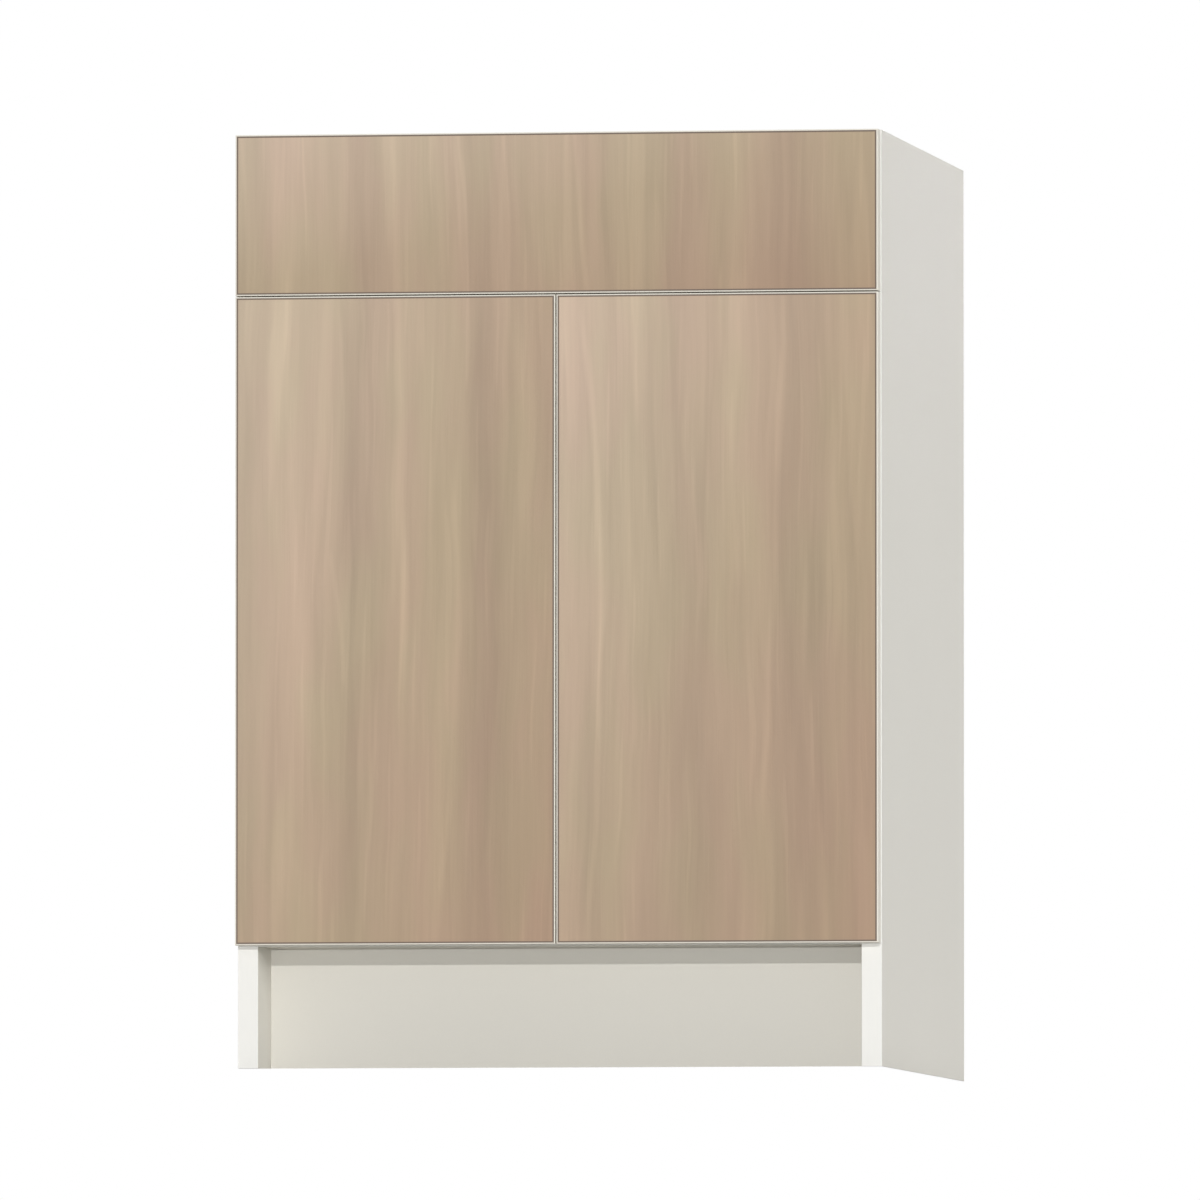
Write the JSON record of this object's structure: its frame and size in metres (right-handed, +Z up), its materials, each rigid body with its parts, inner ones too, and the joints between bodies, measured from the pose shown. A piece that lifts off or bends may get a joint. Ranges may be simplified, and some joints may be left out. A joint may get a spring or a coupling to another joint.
{
  "type": "kitchen base cabinet",
  "caption": "Kitchen base cabinet with a drawer over a pair of doors, slab fronts in streaky wood-grain, an adjustable shelf and a recessed toe kick.",
  "frame": {"origin": "on the floor, in the middle of the outer width and of the outer depth with the fronts", "axes": "+Z up, +Y towards the wall, +X to the right as seen from the front"},
  "size_m": [0.6096, 0.6032, 0.8763],
  "materials": {
    "carcass_melamine": "smooth warm-white melamine on particle board",
    "carcass_band": "satin off-white edge band",
    "front_decor": "satin wood-grain decor with soft vertical streaks",
    "front_band": "satin pale edge band",
    "box_birch": "clear-lacquered pale plywood",
    "dowel_beech": "bare hardwood",
    "zinc_steel": "bright zinc-plated steel",
    "nickel_steel": "nickel-plated steel",
    "cast_zinc": "die-cast zinc",
    "bumper_clear": "soft translucent polyurethane"
  },
  "bodies": {
    "carcass": {"left_side_panel": "carcass_melamine", "right_side_panel": "carcass_melamine", "bottom_panel": "carcass_melamine", "back_panel": "carcass_melamine", "front_top_rail": "carcass_melamine", "rear_top_rail": "carcass_melamine", "divider_rail": "carcass_melamine", "wall_rail": "carcass_melamine", "lower_wall_rail": "carcass_melamine", "toe_board": "carcass_melamine", "rear_toe_board": "carcass_melamine", "shelf": "carcass_melamine", "shelf_edge_band": "carcass_band", "shelf_pins": "nickel_steel", "carcass_edge_bands": "carcass_band", "cam_locks": "cast_zinc", "cam_bolts": "zinc_steel", "dowels": "dowel_beech", "left_cabinet_member": "zinc_steel", "right_cabinet_member": "zinc_steel", "cabinet_member_screws": "zinc_steel", "hinge_plates": "nickel_steel", "hinge_arms": "nickel_steel", "hinge_arm_pins": "nickel_steel", "hinge_plate_screws": "nickel_steel", "hinge_arm_screws": "nickel_steel"},
    "drawer": {"drawer_front": "front_decor", "drawer_front_edge_band": "front_band", "drawer_box_front": "box_birch", "drawer_box_back": "box_birch", "left_drawer_side": "box_birch", "right_drawer_side": "box_birch", "drawer_bottom": "box_birch", "drawer_front_screws": "zinc_steel", "drawer_bumpers": "bumper_clear", "left_drawer_member": "zinc_steel", "right_drawer_member": "zinc_steel", "drawer_member_screws": "zinc_steel"},
    "slide_middle_members": {"left_middle_member": "zinc_steel", "right_middle_member": "zinc_steel"},
    "outer_cages": {"outer_ball_cages": "zinc_steel", "outer_balls": "zinc_steel"},
    "inner_cages": {"inner_ball_cages": "zinc_steel", "inner_balls": "zinc_steel"},
    "left_door": {"left_door": "front_decor", "left_door_edge_band": "front_band", "left_door_bumpers": "bumper_clear", "left_hinge_cups": "nickel_steel", "left_cup_pins": "nickel_steel", "left_cup_screws": "nickel_steel"},
    "left_long_links": {"left_long_links": "nickel_steel"},
    "left_short_links": {"left_short_links": "nickel_steel"},
    "right_door": {"right_door": "front_decor", "right_door_edge_band": "front_band", "right_door_bumpers": "bumper_clear", "right_hinge_cups": "nickel_steel", "right_cup_pins": "nickel_steel", "right_cup_screws": "nickel_steel"},
    "right_long_links": {"right_long_links": "nickel_steel"},
    "right_short_links": {"right_short_links": "nickel_steel"}
  },
  "joints": [
    {"name": "drawer_slide", "type": "slide", "parent": "carcass", "child": "drawer", "axis": [0, -1, 0], "range_m": [0, 0.508]},
    {"name": "slide_middle_slide", "type": "slide", "parent": "carcass", "child": "slide_middle_members", "axis": [0, -1, 0], "range_m": [0, 0.254]},
    {"name": "outer_cage_slide", "type": "slide", "parent": "carcass", "child": "outer_cages", "axis": [0, -1, 0], "range_m": [0, 0.127]},
    {"name": "inner_cage_slide", "type": "slide", "parent": "carcass", "child": "inner_cages", "axis": [0, -1, 0], "range_m": [0, 0.381]},
    {"name": "left_door_swing", "type": "hinge", "parent": "left_long_links", "child": "left_door", "pos_m": [-0.29539, -0.28377, 0.41914], "axis": [0, 0, -1], "range_deg": [0, 122.65]},
    {"name": "left_long_link_swing", "type": "hinge", "parent": "carcass", "child": "left_long_links", "pos_m": [-0.2648, -0.24457, 0.41914], "axis": [0, 0, 1], "range_deg": [0, 27.66]},
    {"name": "left_short_link_swing", "type": "hinge", "parent": "carcass", "child": "left_short_links", "pos_m": [-0.2799, -0.28031, 0.41914], "axis": [0, 0, 1], "range_deg": [0, 65.37]},
    {"name": "right_door_swing", "type": "hinge", "parent": "right_long_links", "child": "right_door", "pos_m": [0.29539, -0.28377, 0.41914], "axis": [0, 0, 1], "range_deg": [0, 122.65]},
    {"name": "right_long_link_swing", "type": "hinge", "parent": "carcass", "child": "right_long_links", "pos_m": [0.2648, -0.24457, 0.41914], "axis": [0, 0, -1], "range_deg": [0, 27.66]},
    {"name": "right_short_link_swing", "type": "hinge", "parent": "carcass", "child": "right_short_links", "pos_m": [0.2799, -0.28031, 0.41914], "axis": [0, 0, -1], "range_deg": [0, 65.37]}
  ],
  "couplings": [
    {"joint": "slide_middle_slide", "follows": "drawer_slide", "ratio": 0.5},
    {"joint": "outer_cage_slide", "follows": "drawer_slide", "ratio": 0.25},
    {"joint": "inner_cage_slide", "follows": "drawer_slide", "ratio": 0.75},
    {"joint": "left_long_link_swing", "follows": "left_door_swing", "ratio": 0.22547},
    {"joint": "left_short_link_swing", "follows": "left_door_swing", "ratio": 0.53288},
    {"joint": "right_long_link_swing", "follows": "right_door_swing", "ratio": 0.22547},
    {"joint": "right_short_link_swing", "follows": "right_door_swing", "ratio": 0.53288}
  ]
}
